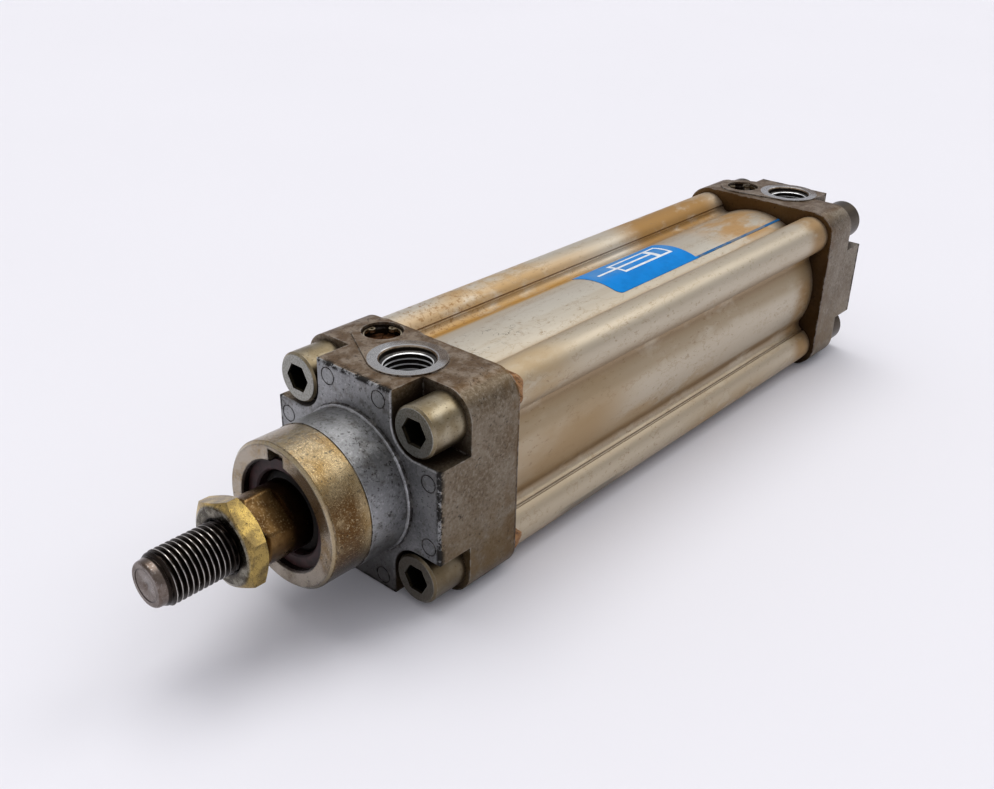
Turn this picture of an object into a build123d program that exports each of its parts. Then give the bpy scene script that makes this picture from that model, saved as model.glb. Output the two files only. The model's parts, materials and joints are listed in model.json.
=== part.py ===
from build123d import *
import math
import os

os.makedirs("parts", exist_ok=True)

# Double-acting profile-barrel air cylinder, 40 mm bore and 100 mm stroke, with adjustable
# cushioning at both ends. Millimetres. The rod points along +X and the air ports face +Z.
# The origin is on the rod's axis, in the bearing cap's front mounting face. The rod is
# drawn fully retracted.

# ---------------------------------------------------------------- driving sizes
bore_r = 20.0
stroke = 100.0
cap_side = 53.0
screw_spacing = 38.0
rod_r = 8.0
rod_thread_r = 6.0
collar_r = 17.5
bearing_cap_len = 26.0
barrel_len = 155.0
end_cap_len = 24.0
same_body_fit = 0.05
running_fit = 0.05

# ---------------------------------------------------------------- stations along the rod
front_x = 0.0
barrel_front_x = front_x - bearing_cap_len
barrel_rear_x = barrel_front_x - barrel_len
rear_x = barrel_rear_x - end_cap_len
collar_tip_x = 22.0
collar_turned_x = 11.3
rod_flats_x = 24.0
rod_shoulder_x = 31.0
rod_tip_x = 55.0

# ---------------------------------------------------------------- cap castings
cap_top_z = cap_side / 2
cap_corner_r = 7.0
cap_edge_r = 0.5
pocket_wall = 12.0
pocket_depth = 10.0
pocket_corner_r = 7.0
pocket_reach = 18.0
spigot_len = 10.0
spigot_r = bore_r - same_body_fit
chamber_r = 11.5
bearing_chamber_end_x = -13.0
end_wall = 8.5
end_chamber_end_x = rear_x + end_wall
pilot_recess_depth = 3.0
boss_height = 0.35
boss_r = 9.4
boss_small_r = 7.4
mark_r = 2.2
mark_line = 0.3
mark_depth = 0.25
mark_near = 8.2
mark_far = 23.2

# ---------------------------------------------------------------- ports and cushion screws
port_r = 6.58
port_mouth_r = 7.0
port_depth = 12.0
port_duct_r = 2.75
cushion_recess_r = 5.1
cushion_recess_z = 23.1
cushion_bore_r = 2.58
cushion_bore_z = 10.0
needle_seat_r = 1.5
bypass_r = 1.2
bypass_z = 16.8
clip_groove_r = 5.4
clip_z = 25.3
clip_t = 0.8

# distance inward from the cap's outer face, and side offset, of each port and cushion screw
bearing_port = (14.0, 3.2)
bearing_duct = 17.0
bearing_cushion = (20.2, -11.6)
end_port = (10.1, 2.8)
end_duct = 12.4
end_cushion = (14.8, -12.0)

# ---------------------------------------------------------------- screws and barrel
head_r = 6.2
head_chamfer = 0.6
screw_shank_r = 4.0
screw_clearance_r = 4.3
screw_reach = 18.0
hex_across_flats = 6.4
hex_depth = 4.5
head_thread_r = 3.0
head_thread_end = 12.0
tube_r = 22.8
lobe_r = 6.05
groove_r = 2.0
seam_r = 0.4
seam_turn = 108.4
barrel_thread_r = 4.05
lobe_core_r = 3.4
barrel_thread_depth = 24.0

# ---------------------------------------------------------------- seals in the caps
seal_pocket_r = 13.0
seal_pocket_x = 12.0
bush_r = 10.0
bush_rear_x = -12.0
bush_stop_r = 8.6
cushion_seal_r = 14.0
cushion_seal_lip = 1.0
cushion_seal_len = 4.0
o_ring_section_r = 0.88
o_ring_offset = 4.0
o_ring_groove_w = 2.4
o_ring_groove_r = 18.2

# ---------------------------------------------------------------- piston
end_gap = 0.1
rod_end_r = 5.0
piston_r = 19.6
wear_r = bore_r - running_fit
piston_rear_x = barrel_rear_x + spigot_len + end_gap
piston_front_x = barrel_front_x - spigot_len - stroke - end_gap
piston_mid_x = (piston_rear_x + piston_front_x) / 2
piston_half_len = (piston_front_x - piston_rear_x) / 2
guide_half_w = 5.0
guide_groove_r = 18.0
magnet_half_w = 2.5
magnet_in_r = 13.0
seal_groove_near = 9.4
seal_groove_far = 14.4
seal_groove_r = 15.0
float_gap = 0.1
rod_ring_near = 4.0
rod_ring_far = 6.2
rod_ring_groove_r = 6.8
sleeve_r = 11.0
sleeve_len = 20.0
sleeve_hollow_r = 9.4
sleeve_flange = 2.5
piston_nut_flats = 16.0
piston_nut_len = 7.0
rod_rear_reach = 11.8
rod_rear_x = piston_rear_x - rod_rear_reach

# ---------------------------------------------------------------- rod nut and label
nut_flats = 19.0
nut_rear_x = 32.3
nut_len = 4.9
nut_turn = 22.0
flats_width = 13.0
flats_turn = 55.0
label_t = 0.12
label_front_x = -90.2
label_rear_x = -130.0
label_near_y = 7.9
label_far_y = -8.5
label_corner_r = 2.2
stripe_w = 0.8


def across(x):
    """Plane square to the rod at x: its own x is +Y, its own y is +Z, and it faces +X."""
    return Plane(origin=(x, 0, 0), x_dir=(0, 1, 0), z_dir=(1, 0, 0))


def upright(x, y):
    """Plane through the vertical line at x, y: its own x is +X and its own y is +Z."""
    return Plane(origin=(x, y, 0), x_dir=(1, 0, 0), z_dir=(0, -1, 0))


def section(points, plane=Plane.XY):
    """Closed profile through the given points, to be turned about an axis."""
    with BuildSketch(plane) as profile:
        with BuildLine():
            Polyline(*points, close=True)
        make_face()
    return profile.sketch


def band(x_a, x_b, r_in, r_out):
    """Profile of a plain ring around the rod's axis, between two stations and two radii."""
    return section([(x_a, r_in), (x_b, r_in), (x_b, r_out), (x_a, r_out)])


def discs(plane, radius):
    """Four discs of one radius on the square pattern of the cap screws."""
    with BuildSketch(plane) as pattern:
        with GridLocations(screw_spacing, screw_spacing, 2, 2):
            Circle(radius)
    return pattern.sketch


def cap_outline(plane):
    with BuildSketch(plane) as outline:
        RectangleRounded(cap_side, cap_side, cap_corner_r)
    return outline.sketch


def corner_pockets(plane):
    """The four open corners that the screw heads stand in, each with a round inner corner."""
    centre = pocket_wall + pocket_reach / 2
    with BuildSketch(plane) as pockets:
        with Locations((centre, centre)):
            Rectangle(pocket_reach, pocket_reach)
        fillet(pockets.vertices().sort_by_distance((0, 0, 0))[0], pocket_corner_r)
        mirror(about=Plane.YZ)
        mirror(about=Plane.XZ)
    return pockets.sketch


def ejector_marks(plane):
    """Thin rings left by the mould's ejector pins, two on each side of the square face."""
    near_far = [(mark_near, mark_far), (mark_far, mark_near)]
    spots = [(sy * y, sz * z) for y, z in near_far for sy in (-1, 1) for sz in (-1, 1)]
    with BuildSketch(plane) as marks:
        with Locations(*spots):
            Circle(mark_r)
            Circle(mark_r - mark_line, mode=Mode.SUBTRACT)
    return marks.sketch


def port_boss(port_x, port_y, screw_x, screw_y, low_x, high_x):
    """Raised pad around an air port and its cushion screw, cut off at the cap's own faces."""
    with BuildSketch(Plane.XY.offset(cap_top_z)) as boss:
        with Locations((port_x, port_y)):
            Circle(boss_r)
        with Locations((screw_x, screw_y)):
            Circle(boss_small_r)
        make_hull()
        with Locations(((low_x + high_x) / 2, 0)):
            Rectangle(high_x - low_x, cap_side, mode=Mode.INTERSECT)
    return boss.sketch


def cap_casting(face_x, inward, length, port, duct, cushion, chamber_end_x):
    """What both caps share: the block, its spigot, pockets, screw holes, port and cushioning.

    inward is the way from the outer face into the cylinder, +1 or -1 along X.
    """
    face = across(face_x)
    inner_x = face_x + inward * length
    spigot_x = inner_x + inward * spigot_len
    port_x = face_x + inward * port[0]
    duct_x = face_x + inward * duct
    screw_x = face_x + inward * cushion[0]
    pad_x = sorted([inner_x, face_x + inward * cap_edge_r])
    seal_x = [spigot_x - inward * cushion_seal_lip]
    seal_x.append(seal_x[0] - inward * cushion_seal_len)
    ring_x = inner_x + inward * o_ring_offset
    run = Vector(screw_x - port_x, cushion[1] - port[1], 0)
    bypass = Plane(origin=(port_x, port[1], bypass_z), x_dir=(0, 0, 1), z_dir=run.normalized())
    boss_top = cap_top_z + boss_height

    with BuildPart() as cap:
        extrude(cap_outline(face), amount=inward * length)
        extrude(corner_pockets(face), amount=inward * pocket_depth, mode=Mode.SUBTRACT)
        outer_face = cap.faces().filter_by(Axis.X).sort_by(Axis.X)[-1 if inward < 0 else 0]
        fillet(outer_face.outer_wire().edges(), cap_edge_r)
        extrude(ejector_marks(face), amount=inward * mark_depth, mode=Mode.SUBTRACT)
        extrude(port_boss(port_x, port[1], screw_x, cushion[1], *pad_x), amount=boss_height)
        revolve(band(inner_x, spigot_x, 0, spigot_r), axis=Axis.X)
        o_ring_groove = band(
            ring_x - o_ring_groove_w / 2, ring_x + o_ring_groove_w / 2, o_ring_groove_r, bore_r
        )
        revolve(o_ring_groove, axis=Axis.X, mode=Mode.SUBTRACT)
        revolve(band(spigot_x, chamber_end_x, 0, chamber_r), axis=Axis.X, mode=Mode.SUBTRACT)
        revolve(band(*seal_x, 0, cushion_seal_r), axis=Axis.X, mode=Mode.SUBTRACT)
        extrude(discs(face, screw_clearance_r), amount=inward * length, mode=Mode.SUBTRACT)
        with Locations((port_x, port[1], boss_top)):
            CounterSinkHole(port_r, port_mouth_r, depth=port_depth, counter_sink_angle=90)
        with Locations((duct_x, port[1], cap_top_z - port_depth + 1)):
            Hole(port_duct_r, depth=cap_top_z - port_depth)
        with Locations((screw_x, cushion[1], boss_top)):
            CounterBoreHole(
                cushion_bore_r,
                cushion_recess_r,
                counter_bore_depth=boss_top - cushion_recess_z,
                depth=boss_top - cushion_bore_z,
            )
        with Locations((screw_x, cushion[1], cushion_bore_z)):
            Hole(needle_seat_r, depth=cushion_bore_z)
        with BuildSketch(Plane.XY.offset(clip_z - float_gap)):
            with Locations((screw_x, cushion[1])):
                Circle(clip_groove_r)
        extrude(amount=clip_t + 2 * float_gap, mode=Mode.SUBTRACT)
        with BuildSketch(bypass):
            Circle(bypass_r)
        extrude(amount=run.length, mode=Mode.SUBTRACT)
    return cap.part


# ---------------------------------------------------------------- bearing cap
# A cast block with the long collar that guides the rod. The collar is turned at the front
# only; behind that its cast skin is a little larger and ends in a low ring at the block.
root_ring = [(-1.0, 0), (-1.0, 18.2), (0.7, 18.2), (1.1, collar_r + 0.2)]
cast_skin = [(collar_turned_x, collar_r + 0.2), (collar_turned_x, collar_r)]
collar_nose = [(collar_tip_x - 0.8, collar_r), (collar_tip_x, collar_r - 0.8), (collar_tip_x, 0)]
pry_notch_w = 4.8
pry_notch_top = 15.5
pry_notch_depth = 2.3

with BuildPart() as bearing_cap:
    add(
        cap_casting(
            front_x, -1, bearing_cap_len, bearing_port, bearing_duct, bearing_cushion,
            bearing_chamber_end_x,
        )
    )
    revolve(section(root_ring + cast_skin + collar_nose), axis=Axis.X)
    with BuildSketch() as rod_way:
        with BuildLine():
            Polyline(
                (collar_tip_x, 0),
                (collar_tip_x, seal_pocket_r + 0.4),
                (collar_tip_x - 0.4, seal_pocket_r),
                (seal_pocket_x, seal_pocket_r),
                (seal_pocket_x, bush_r),
                (bush_rear_x, bush_r),
                (bush_rear_x, bush_stop_r),
                (bearing_chamber_end_x - 1, bush_stop_r),
                (bearing_chamber_end_x - 1, 0),
                close=True,
            )
        make_face()
    revolve(axis=Axis.X, mode=Mode.SUBTRACT)
    notch_r = (seal_pocket_r + pry_notch_top) / 2
    with BuildSketch(across(collar_tip_x)):
        with Locations((0, notch_r)):
            Rectangle(pry_notch_w, pry_notch_top - seal_pocket_r + 1)
    extrude(amount=-pry_notch_depth, mode=Mode.SUBTRACT)
bearing_cap.part.label = "bearing_cap"
export_step(bearing_cap.part, "parts/bearing_cap.step")

# ---------------------------------------------------------------- end cap
# The same casting without a collar. A shallow round recess in its back centres a mounting.
with BuildPart() as end_cap:
    add(
        cap_casting(rear_x, 1, end_cap_len, end_port, end_duct, end_cushion, end_chamber_end_x)
    )
    with BuildSketch(across(rear_x)):
        Circle(collar_r)
    extrude(amount=pilot_recess_depth, mode=Mode.SUBTRACT)
end_cap.part.label = "end_cap"
export_step(end_cap.part, "parts/end_cap.step")

# ---------------------------------------------------------------- barrel
# Extruded tube with a round lobe at each corner for the cap screws. A rounded groove lies
# each side of a lobe, with a fine seam where the groove meets the lobe.
seam_angles = [45 - seam_turn, 45 + seam_turn]
seam_spots = []
for turn in (0, 90, 180, 270):
    lobe_angle = math.radians(45 + turn)
    lobe_y = screw_spacing / math.sqrt(2) * math.cos(lobe_angle)
    lobe_z = screw_spacing / math.sqrt(2) * math.sin(lobe_angle)
    for angle in seam_angles:
        seam_angle = math.radians(angle + turn)
        seam_spots.append(
            (lobe_y + lobe_r * math.cos(seam_angle), lobe_z + lobe_r * math.sin(seam_angle))
        )


def at_groove(vertex):
    """True where a lobe's circle crosses the tube's circle."""
    radius = math.hypot(vertex.X, vertex.Y)
    return abs(radius - tube_r) < 0.01 and min(abs(vertex.X), abs(vertex.Y)) > 5


with BuildPart() as barrel:
    with BuildSketch(across(barrel_rear_x)) as profile:
        Circle(tube_r)
        with GridLocations(screw_spacing, screw_spacing, 2, 2):
            Circle(lobe_r)
        fillet(profile.vertices().filter_by(at_groove), groove_r)
        with Locations(*seam_spots):
            Circle(seam_r, mode=Mode.SUBTRACT)
        Circle(bore_r, mode=Mode.SUBTRACT)
        with GridLocations(screw_spacing, screw_spacing, 2, 2):
            Circle(lobe_core_r, mode=Mode.SUBTRACT)
    extrude(amount=barrel_len)
    for end_x, way in ((barrel_front_x, -1), (barrel_rear_x, 1)):
        extrude(
            discs(across(end_x), barrel_thread_r),
            amount=way * barrel_thread_depth,
            mode=Mode.SUBTRACT,
        )
barrel.part.label = "barrel"
export_step(barrel.part, "parts/barrel.step")


# ---------------------------------------------------------------- cap screws
def cap_screws(face_x, inward, cap_len):
    """Four socket screws with tall round heads, each head threaded inside for a mounting."""
    face = across(face_x)
    with BuildPart() as screws:
        extrude(discs(face, head_r), amount=inward * pocket_depth)
        rims = screws.edges().filter_by(GeomType.CIRCLE).group_by(Axis.X)
        chamfer(rims[-1 if inward < 0 else 0], head_chamfer)
        extrude(discs(face, screw_shank_r), amount=inward * (cap_len + screw_reach))
        with BuildSketch(face):
            with GridLocations(screw_spacing, screw_spacing, 2, 2):
                RegularPolygon(hex_across_flats / 2, 6, major_radius=False)
        extrude(amount=inward * hex_depth, mode=Mode.SUBTRACT)
        extrude(discs(face, head_thread_r), amount=inward * head_thread_end, mode=Mode.SUBTRACT)
    return screws.part


screw_sets = (
    ("front_cap_screws", front_x, -1, bearing_cap_len),
    ("rear_cap_screws", rear_x, 1, end_cap_len),
)
for name, face_x, inward, cap_len in screw_sets:
    with BuildPart() as screw_set:
        add(cap_screws(face_x, inward, cap_len))
    screw_set.part.label = name
    export_step(screw_set.part, f"parts/{name}.step")

# ---------------------------------------------------------------- rod bearing and rod seal
with BuildPart() as rod_bearing_bush:
    revolve(band(bush_rear_x, seal_pocket_x - 0.5, rod_r + running_fit, bush_r), axis=Axis.X)
rod_bearing_bush.part.label = "rod_bearing_bush"
export_step(rod_bearing_bush.part, "parts/rod_bearing_bush.step")

# One polyurethane ring seals the air in with its rear lip and wipes the rod with its front lip.
lip_r = rod_r + running_fit
seal_back_x = seal_pocket_x
seal_front_x = 17.2
with BuildPart() as rod_seal:
    with BuildSketch():
        with BuildLine():
            Polyline(
                (seal_back_x, lip_r),
                (seal_back_x + 0.8, lip_r),
                (seal_back_x + 1.8, lip_r + 0.6),
                (seal_front_x, lip_r + 0.6),
                (collar_tip_x - 3.6, lip_r),
                (collar_tip_x - 2.6, lip_r),
                (collar_tip_x - 3.4, 9.3),
                (seal_front_x + 0.6, 9.9),
                (seal_front_x, 10.0),
                (seal_front_x, seal_pocket_r - 0.05),
                (seal_back_x + 2.4, seal_pocket_r - 0.05),
                (seal_back_x, 11.6),
                (seal_back_x, 10.4),
                (seal_back_x + 2.2, 9.9),
                (seal_back_x + 2.2, 9.5),
                (seal_back_x, 9.2),
                close=True,
            )
        make_face()
    revolve(axis=Axis.X)
rod_seal.part.label = "rod_seal"
export_step(rod_seal.part, "parts/rod_seal.step")

with BuildPart() as seal_retaining_ring:
    revolve(
        section(
            [
                (seal_front_x, 10.1),
                (collar_tip_x - 2.2, 10.1),
                (collar_tip_x - 1.8, 10.5),
                (collar_tip_x - 1.8, seal_pocket_r),
                (seal_front_x, seal_pocket_r),
            ]
        ),
        axis=Axis.X,
    )
seal_retaining_ring.part.label = "seal_retaining_ring"
export_step(seal_retaining_ring.part, "parts/seal_retaining_ring.step")


# ---------------------------------------------------------------- seals at both spigots
def cushion_seal(spigot_x, inward):
    """Ring that closes on the cushion sleeve as the piston nears the cap."""
    mouth = spigot_x - inward * (cushion_seal_lip + same_body_fit)
    back = mouth - inward * (cushion_seal_len - 2 * same_body_fit)
    outer = cushion_seal_r - same_body_fit
    with BuildPart() as seal:
        revolve(
            section(
                [
                    (mouth, sleeve_r + 0.6),
                    (mouth - inward * 1.2, sleeve_r + running_fit),
                    (mouth - inward * 2.2, sleeve_r + running_fit),
                    (back, sleeve_r + 0.7),
                    (back, outer),
                    (mouth, outer),
                ]
            ),
            axis=Axis.X,
        )
    return seal.part


def barrel_o_ring(inner_x, inward):
    """Round-section ring between the spigot's groove and the barrel's bore."""
    ring_x = inner_x + inward * o_ring_offset
    with BuildPart() as ring:
        with BuildSketch():
            with Locations((ring_x, bore_r - o_ring_section_r - 0.02)):
                Circle(o_ring_section_r)
        revolve(axis=Axis.X)
    return ring.part


for end, inner_x, inward in (("front", barrel_front_x, -1), ("rear", barrel_rear_x, 1)):
    with BuildPart() as sealing_ring:
        add(cushion_seal(inner_x + inward * spigot_len, inward))
    sealing_ring.part.label = f"{end}_cushion_seal"
    export_step(sealing_ring.part, f"parts/{end}_cushion_seal.step")
    with BuildPart() as static_ring:
        add(barrel_o_ring(inner_x, inward))
    static_ring.part.label = f"{end}_barrel_o_ring"
    export_step(static_ring.part, f"parts/{end}_barrel_o_ring.step")

# ---------------------------------------------------------------- cushion screws
# A slotted needle screw in a round recess, its O-ring, and the clip that keeps it in. The
# screw stands one turn open.
screw_head_r = 4.3
screw_head_low_z = 23.65
screw_head_top_z = 24.4
needle_r = 1.35
needle_body_z = 18.0
needle_cone_z = 10.5
needle_tip_z = 8.2
ring_groove_z = 19.0
ring_groove_h = 1.4
ring_groove_in_r = 1.45
ring_mid_r = 2.02
ring_thick_r = 0.48
slot_w = 1.0
slot_depth = 0.4
slot_turn = 35.0
clip_gap_turn = 228.5
clip_gap_half = 33.0
clip_in_r = 4.35
clip_out_r = 5.35
lug_mid_r = 3.8
lug_r = 1.0
lug_hole_r = 0.4


def cushion_screw(x, y):
    half_turned = [
        (0, needle_tip_z),
        (0.4, needle_tip_z),
        (needle_r, needle_cone_z),
        (needle_r, needle_body_z),
        (2.5, needle_body_z),
        (2.5, ring_groove_z),
        (ring_groove_in_r, ring_groove_z),
        (ring_groove_in_r, ring_groove_z + ring_groove_h),
        (2.5, ring_groove_z + ring_groove_h),
        (2.5, screw_head_low_z),
        (screw_head_r, screw_head_low_z),
        (screw_head_r, screw_head_top_z - 0.2),
        (screw_head_r - 0.2, screw_head_top_z),
        (0, screw_head_top_z),
    ]
    with BuildPart() as screw:
        revolve(section(half_turned, upright(x, y)), axis=Axis((x, y, 0), (0, 0, 1)))
        with BuildSketch(Plane.XY.offset(screw_head_top_z)):
            with Locations((x, y)):
                Rectangle(3 * screw_head_r, slot_w, rotation=slot_turn)
        extrude(amount=-slot_depth, mode=Mode.SUBTRACT)
    return screw.part


def cushion_screw_ring(x, y):
    with BuildPart() as ring:
        with BuildSketch(upright(x, y)):
            with Locations((ring_mid_r, ring_groove_z + ring_groove_h / 2)):
                Circle(ring_thick_r)
        revolve(axis=Axis((x, y, 0), (0, 0, 1)))
    return ring.part


def cushion_clip(x, y):
    """Spring clip with a gap and two lugs, each lug with a hole for the pliers."""
    gap_start = clip_gap_turn - clip_gap_half
    wedge = [
        (0, 0),
        (
            2 * clip_out_r * math.cos(math.radians(gap_start)),
            2 * clip_out_r * math.sin(math.radians(gap_start)),
        ),
        (
            2 * clip_out_r * math.cos(math.radians(gap_start + 2 * clip_gap_half)),
            2 * clip_out_r * math.sin(math.radians(gap_start + 2 * clip_gap_half)),
        ),
    ]
    with BuildPart() as clip:
        with BuildSketch(Plane((x, y, clip_z))):
            Circle(clip_out_r)
            Circle(clip_in_r, mode=Mode.SUBTRACT)
            with BuildLine():
                Polyline(*wedge, close=True)
            make_face(mode=Mode.SUBTRACT)
            with PolarLocations(
                lug_mid_r + 0.3, 2, start_angle=gap_start - 6, angular_range=2 * clip_gap_half + 12,
                endpoint=True,
            ):
                Circle(lug_r)
            with PolarLocations(
                lug_mid_r, 2, start_angle=gap_start - 6, angular_range=2 * clip_gap_half + 12,
                endpoint=True,
            ):
                Circle(lug_hole_r, mode=Mode.SUBTRACT)
        extrude(amount=clip_t)
    return clip.part


cushion_places = (
    ("front", front_x - bearing_cushion[0], bearing_cushion[1]),
    ("rear", rear_x + end_cushion[0], end_cushion[1]),
)
for end, x, y in cushion_places:
    pieces = (
        (f"{end}_cushion_screw", cushion_screw(x, y)),
        (f"{end}_cushion_screw_o_ring", cushion_screw_ring(x, y)),
        (f"{end}_cushion_clip", cushion_clip(x, y)),
    )
    for name, piece in pieces:
        with BuildPart() as small_part:
            add(piece)
        small_part.part.label = name
        export_step(small_part.part, f"parts/{name}.step")

# ---------------------------------------------------------------- piston rod
# Ground bar with two wrench flats, a male thread at the front and a stepped rear end that
# the piston is clamped on. The thread is drawn at its outer diameter in front of the nut, at
# a slightly smaller one under it, and its short plain tip at the root diameter.
nut_front_x = nut_rear_x + nut_len
relief_r = rod_thread_r - 0.2
relief_end_x = nut_front_x + 0.5
tip_edge_r = 4.6
tip_r = 5.15
tip_len = 1.7
thread_start_len = 3.2
undercut_r = 5.1
undercut_end_x = rod_shoulder_x + 1.1
with BuildPart() as piston_rod:
    with BuildSketch():
        with BuildLine():
            Polyline(
                (rod_tip_x, 0),
                (rod_tip_x, tip_edge_r),
                (rod_tip_x - tip_r + tip_edge_r, tip_r),
                (rod_tip_x - tip_len, tip_r),
                (rod_tip_x - thread_start_len, rod_thread_r),
                (relief_end_x, rod_thread_r),
                (relief_end_x, relief_r),
                (undercut_end_x, relief_r),
                (undercut_end_x, undercut_r),
                (rod_shoulder_x, undercut_r),
                (rod_shoulder_x, rod_r - 0.6),
                (rod_shoulder_x - 0.6, rod_r),
                (piston_front_x, rod_r),
                (piston_front_x, rod_end_r),
                (rod_rear_x + 0.8, rod_end_r),
                (rod_rear_x, rod_end_r - 0.8),
                (rod_rear_x, 0),
                close=True,
            )
        make_face()
    revolve(axis=Axis.X)
    flat_cut = 2 * (rod_r - flats_width / 2)
    with BuildSketch(across(rod_flats_x)):
        with PolarLocations(flats_width / 2 + flat_cut / 2, 2, start_angle=flats_turn):
            Rectangle(flat_cut, 2 * rod_r)
    extrude(amount=rod_shoulder_x - rod_flats_x, mode=Mode.SUBTRACT)
piston_rod.part.label = "piston_rod"
export_step(piston_rod.part, "parts/piston_rod.step")

# ---------------------------------------------------------------- nuts
nut_corner_r = nut_flats / math.sqrt(3)
nut_front_r = 8.6
nut_rear_r = 9.3
nut_slope = math.tan(math.radians(30))
nut_mouth = 0.6
nut_clear_r = nut_corner_r + 0.1
with BuildPart() as rod_nut:
    with BuildSketch(across(nut_rear_x)):
        RegularPolygon(nut_flats / 2, 6, major_radius=False, rotation=nut_turn)
        Circle(relief_r + same_body_fit, mode=Mode.SUBTRACT)
    extrude(amount=nut_len)
    revolve(
        section(
            [
                (nut_rear_x, 0),
                (nut_rear_x, nut_rear_r),
                (nut_rear_x + nut_slope * (nut_clear_r - nut_rear_r), nut_clear_r),
                (nut_front_x - nut_slope * (nut_clear_r - nut_front_r), nut_clear_r),
                (nut_front_x, nut_front_r),
                (nut_front_x, 0),
            ]
        ),
        axis=Axis.X,
        mode=Mode.INTERSECT,
    )
    mouths = rod_nut.edges().filter_by(GeomType.CIRCLE)
    mouths = mouths.filter_by(lambda e: abs(e.radius - relief_r - same_body_fit) < 0.01)
    chamfer(mouths, nut_mouth)
rod_nut.part.label = "rod_nut"
export_step(rod_nut.part, "parts/rod_nut.step")

piston_nut_x = piston_rear_x - sleeve_flange
with BuildPart() as piston_nut:
    with BuildSketch(across(piston_nut_x)):
        RegularPolygon(piston_nut_flats / 2, 6, major_radius=False)
        Circle(rod_end_r, mode=Mode.SUBTRACT)
    extrude(amount=-piston_nut_len)
piston_nut.part.label = "piston_nut"
export_step(piston_nut.part, "parts/piston_nut.step")

# ---------------------------------------------------------------- piston
# Two halves clamped between the rod's shoulder and the nut. They hold a magnet ring under the
# guide ring, and a lip seal each side. d is a distance from the piston's middle.


def piston_x(way, d):
    return piston_mid_x + way * d


def piston_half(way, rod_groove):
    outline = [
        (0, magnet_in_r),
        (magnet_half_w, magnet_in_r),
        (magnet_half_w, guide_groove_r),
        (guide_half_w, guide_groove_r),
        (guide_half_w, piston_r),
        (seal_groove_near, piston_r),
        (seal_groove_near, seal_groove_r),
        (seal_groove_far, seal_groove_r),
        (seal_groove_far, piston_r),
        (piston_half_len - 0.5, piston_r),
        (piston_half_len, piston_r - 0.5),
        (piston_half_len, rod_end_r),
        *rod_groove,
        (0, rod_end_r),
    ]
    with BuildPart() as half:
        revolve(section([(piston_x(way, d), r) for d, r in outline]), axis=Axis.X)
    return half.part


def piston_seal(way):
    """Lip seal that opens towards its own end of the piston."""
    near = seal_groove_near + float_gap
    far = seal_groove_far - float_gap
    inner = seal_groove_r + float_gap
    outline = [
        (near, inner),
        (near, wear_r - 0.3),
        (near + 1.8, wear_r - 0.3),
        (far, wear_r),
        (far, wear_r - 1.3),
        (far - 2.2, wear_r - 2.3),
        (far - 2.2, wear_r - 2.8),
        (far, inner + 1.2),
        (far, inner),
    ]
    with BuildPart() as seal:
        revolve(section([(piston_x(way, d), r) for d, r in outline]), axis=Axis.X)
    return seal.part


rod_ring_outline = [
    (rod_ring_far, rod_end_r),
    (rod_ring_far, rod_ring_groove_r),
    (rod_ring_near, rod_ring_groove_r),
    (rod_ring_near, rod_end_r),
]
for end, way, rod_groove in (("front", 1, rod_ring_outline), ("rear", -1, [])):
    with BuildPart() as half:
        add(piston_half(way, rod_groove))
    half.part.label = f"{end}_piston_half"
    export_step(half.part, f"parts/{end}_piston_half.step")
    with BuildPart() as lip_seal:
        add(piston_seal(way))
    lip_seal.part.label = f"{end}_piston_seal"
    export_step(lip_seal.part, f"parts/{end}_piston_seal.step")

with BuildPart() as piston_magnet:
    magnet_x = [piston_x(-1, magnet_half_w), piston_x(1, magnet_half_w)]
    revolve(band(*magnet_x, magnet_in_r, guide_groove_r - float_gap), axis=Axis.X)
piston_magnet.part.label = "piston_magnet"
export_step(piston_magnet.part, "parts/piston_magnet.step")

with BuildPart() as piston_guide_ring:
    guide_half = guide_half_w - float_gap
    guide_x = [piston_x(-1, guide_half), piston_x(1, guide_half)]
    revolve(band(*guide_x, guide_groove_r + float_gap, wear_r), axis=Axis.X)
piston_guide_ring.part.label = "piston_guide_ring"
export_step(piston_guide_ring.part, "parts/piston_guide_ring.step")

with BuildPart() as rod_o_ring:
    ring_r = (rod_ring_groove_r - rod_end_r) / 2
    with BuildSketch():
        with Locations((piston_x(1, (rod_ring_near + rod_ring_far) / 2), rod_end_r + ring_r)):
            Circle(ring_r - 0.02)
    revolve(axis=Axis.X)
rod_o_ring.part.label = "rod_o_ring"
export_step(rod_o_ring.part, "parts/rod_o_ring.step")

# ---------------------------------------------------------------- cushion sleeves
with BuildPart() as front_cushion_sleeve:
    revolve(
        section(
            [
                (piston_front_x, rod_r),
                (piston_front_x, sleeve_r),
                (piston_front_x + sleeve_len - 3.0, sleeve_r),
                (piston_front_x + sleeve_len, sleeve_r - 0.8),
                (piston_front_x + sleeve_len, rod_r),
            ]
        ),
        axis=Axis.X,
    )
front_cushion_sleeve.part.label = "front_cushion_sleeve"
export_step(front_cushion_sleeve.part, "parts/front_cushion_sleeve.step")

with BuildPart() as rear_cushion_sleeve:
    revolve(
        section(
            [
                (piston_rear_x, rod_end_r),
                (piston_rear_x, sleeve_r),
                (piston_rear_x - sleeve_len + 3.0, sleeve_r),
                (piston_rear_x - sleeve_len, sleeve_r - 0.8),
                (piston_rear_x - sleeve_len, sleeve_hollow_r),
                (piston_rear_x - sleeve_flange, sleeve_hollow_r),
                (piston_rear_x - sleeve_flange, rod_end_r),
            ]
        ),
        axis=Axis.X,
    )
rear_cushion_sleeve.part.label = "rear_cushion_sleeve"
export_step(rear_cushion_sleeve.part, "parts/rear_cushion_sleeve.step")

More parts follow.
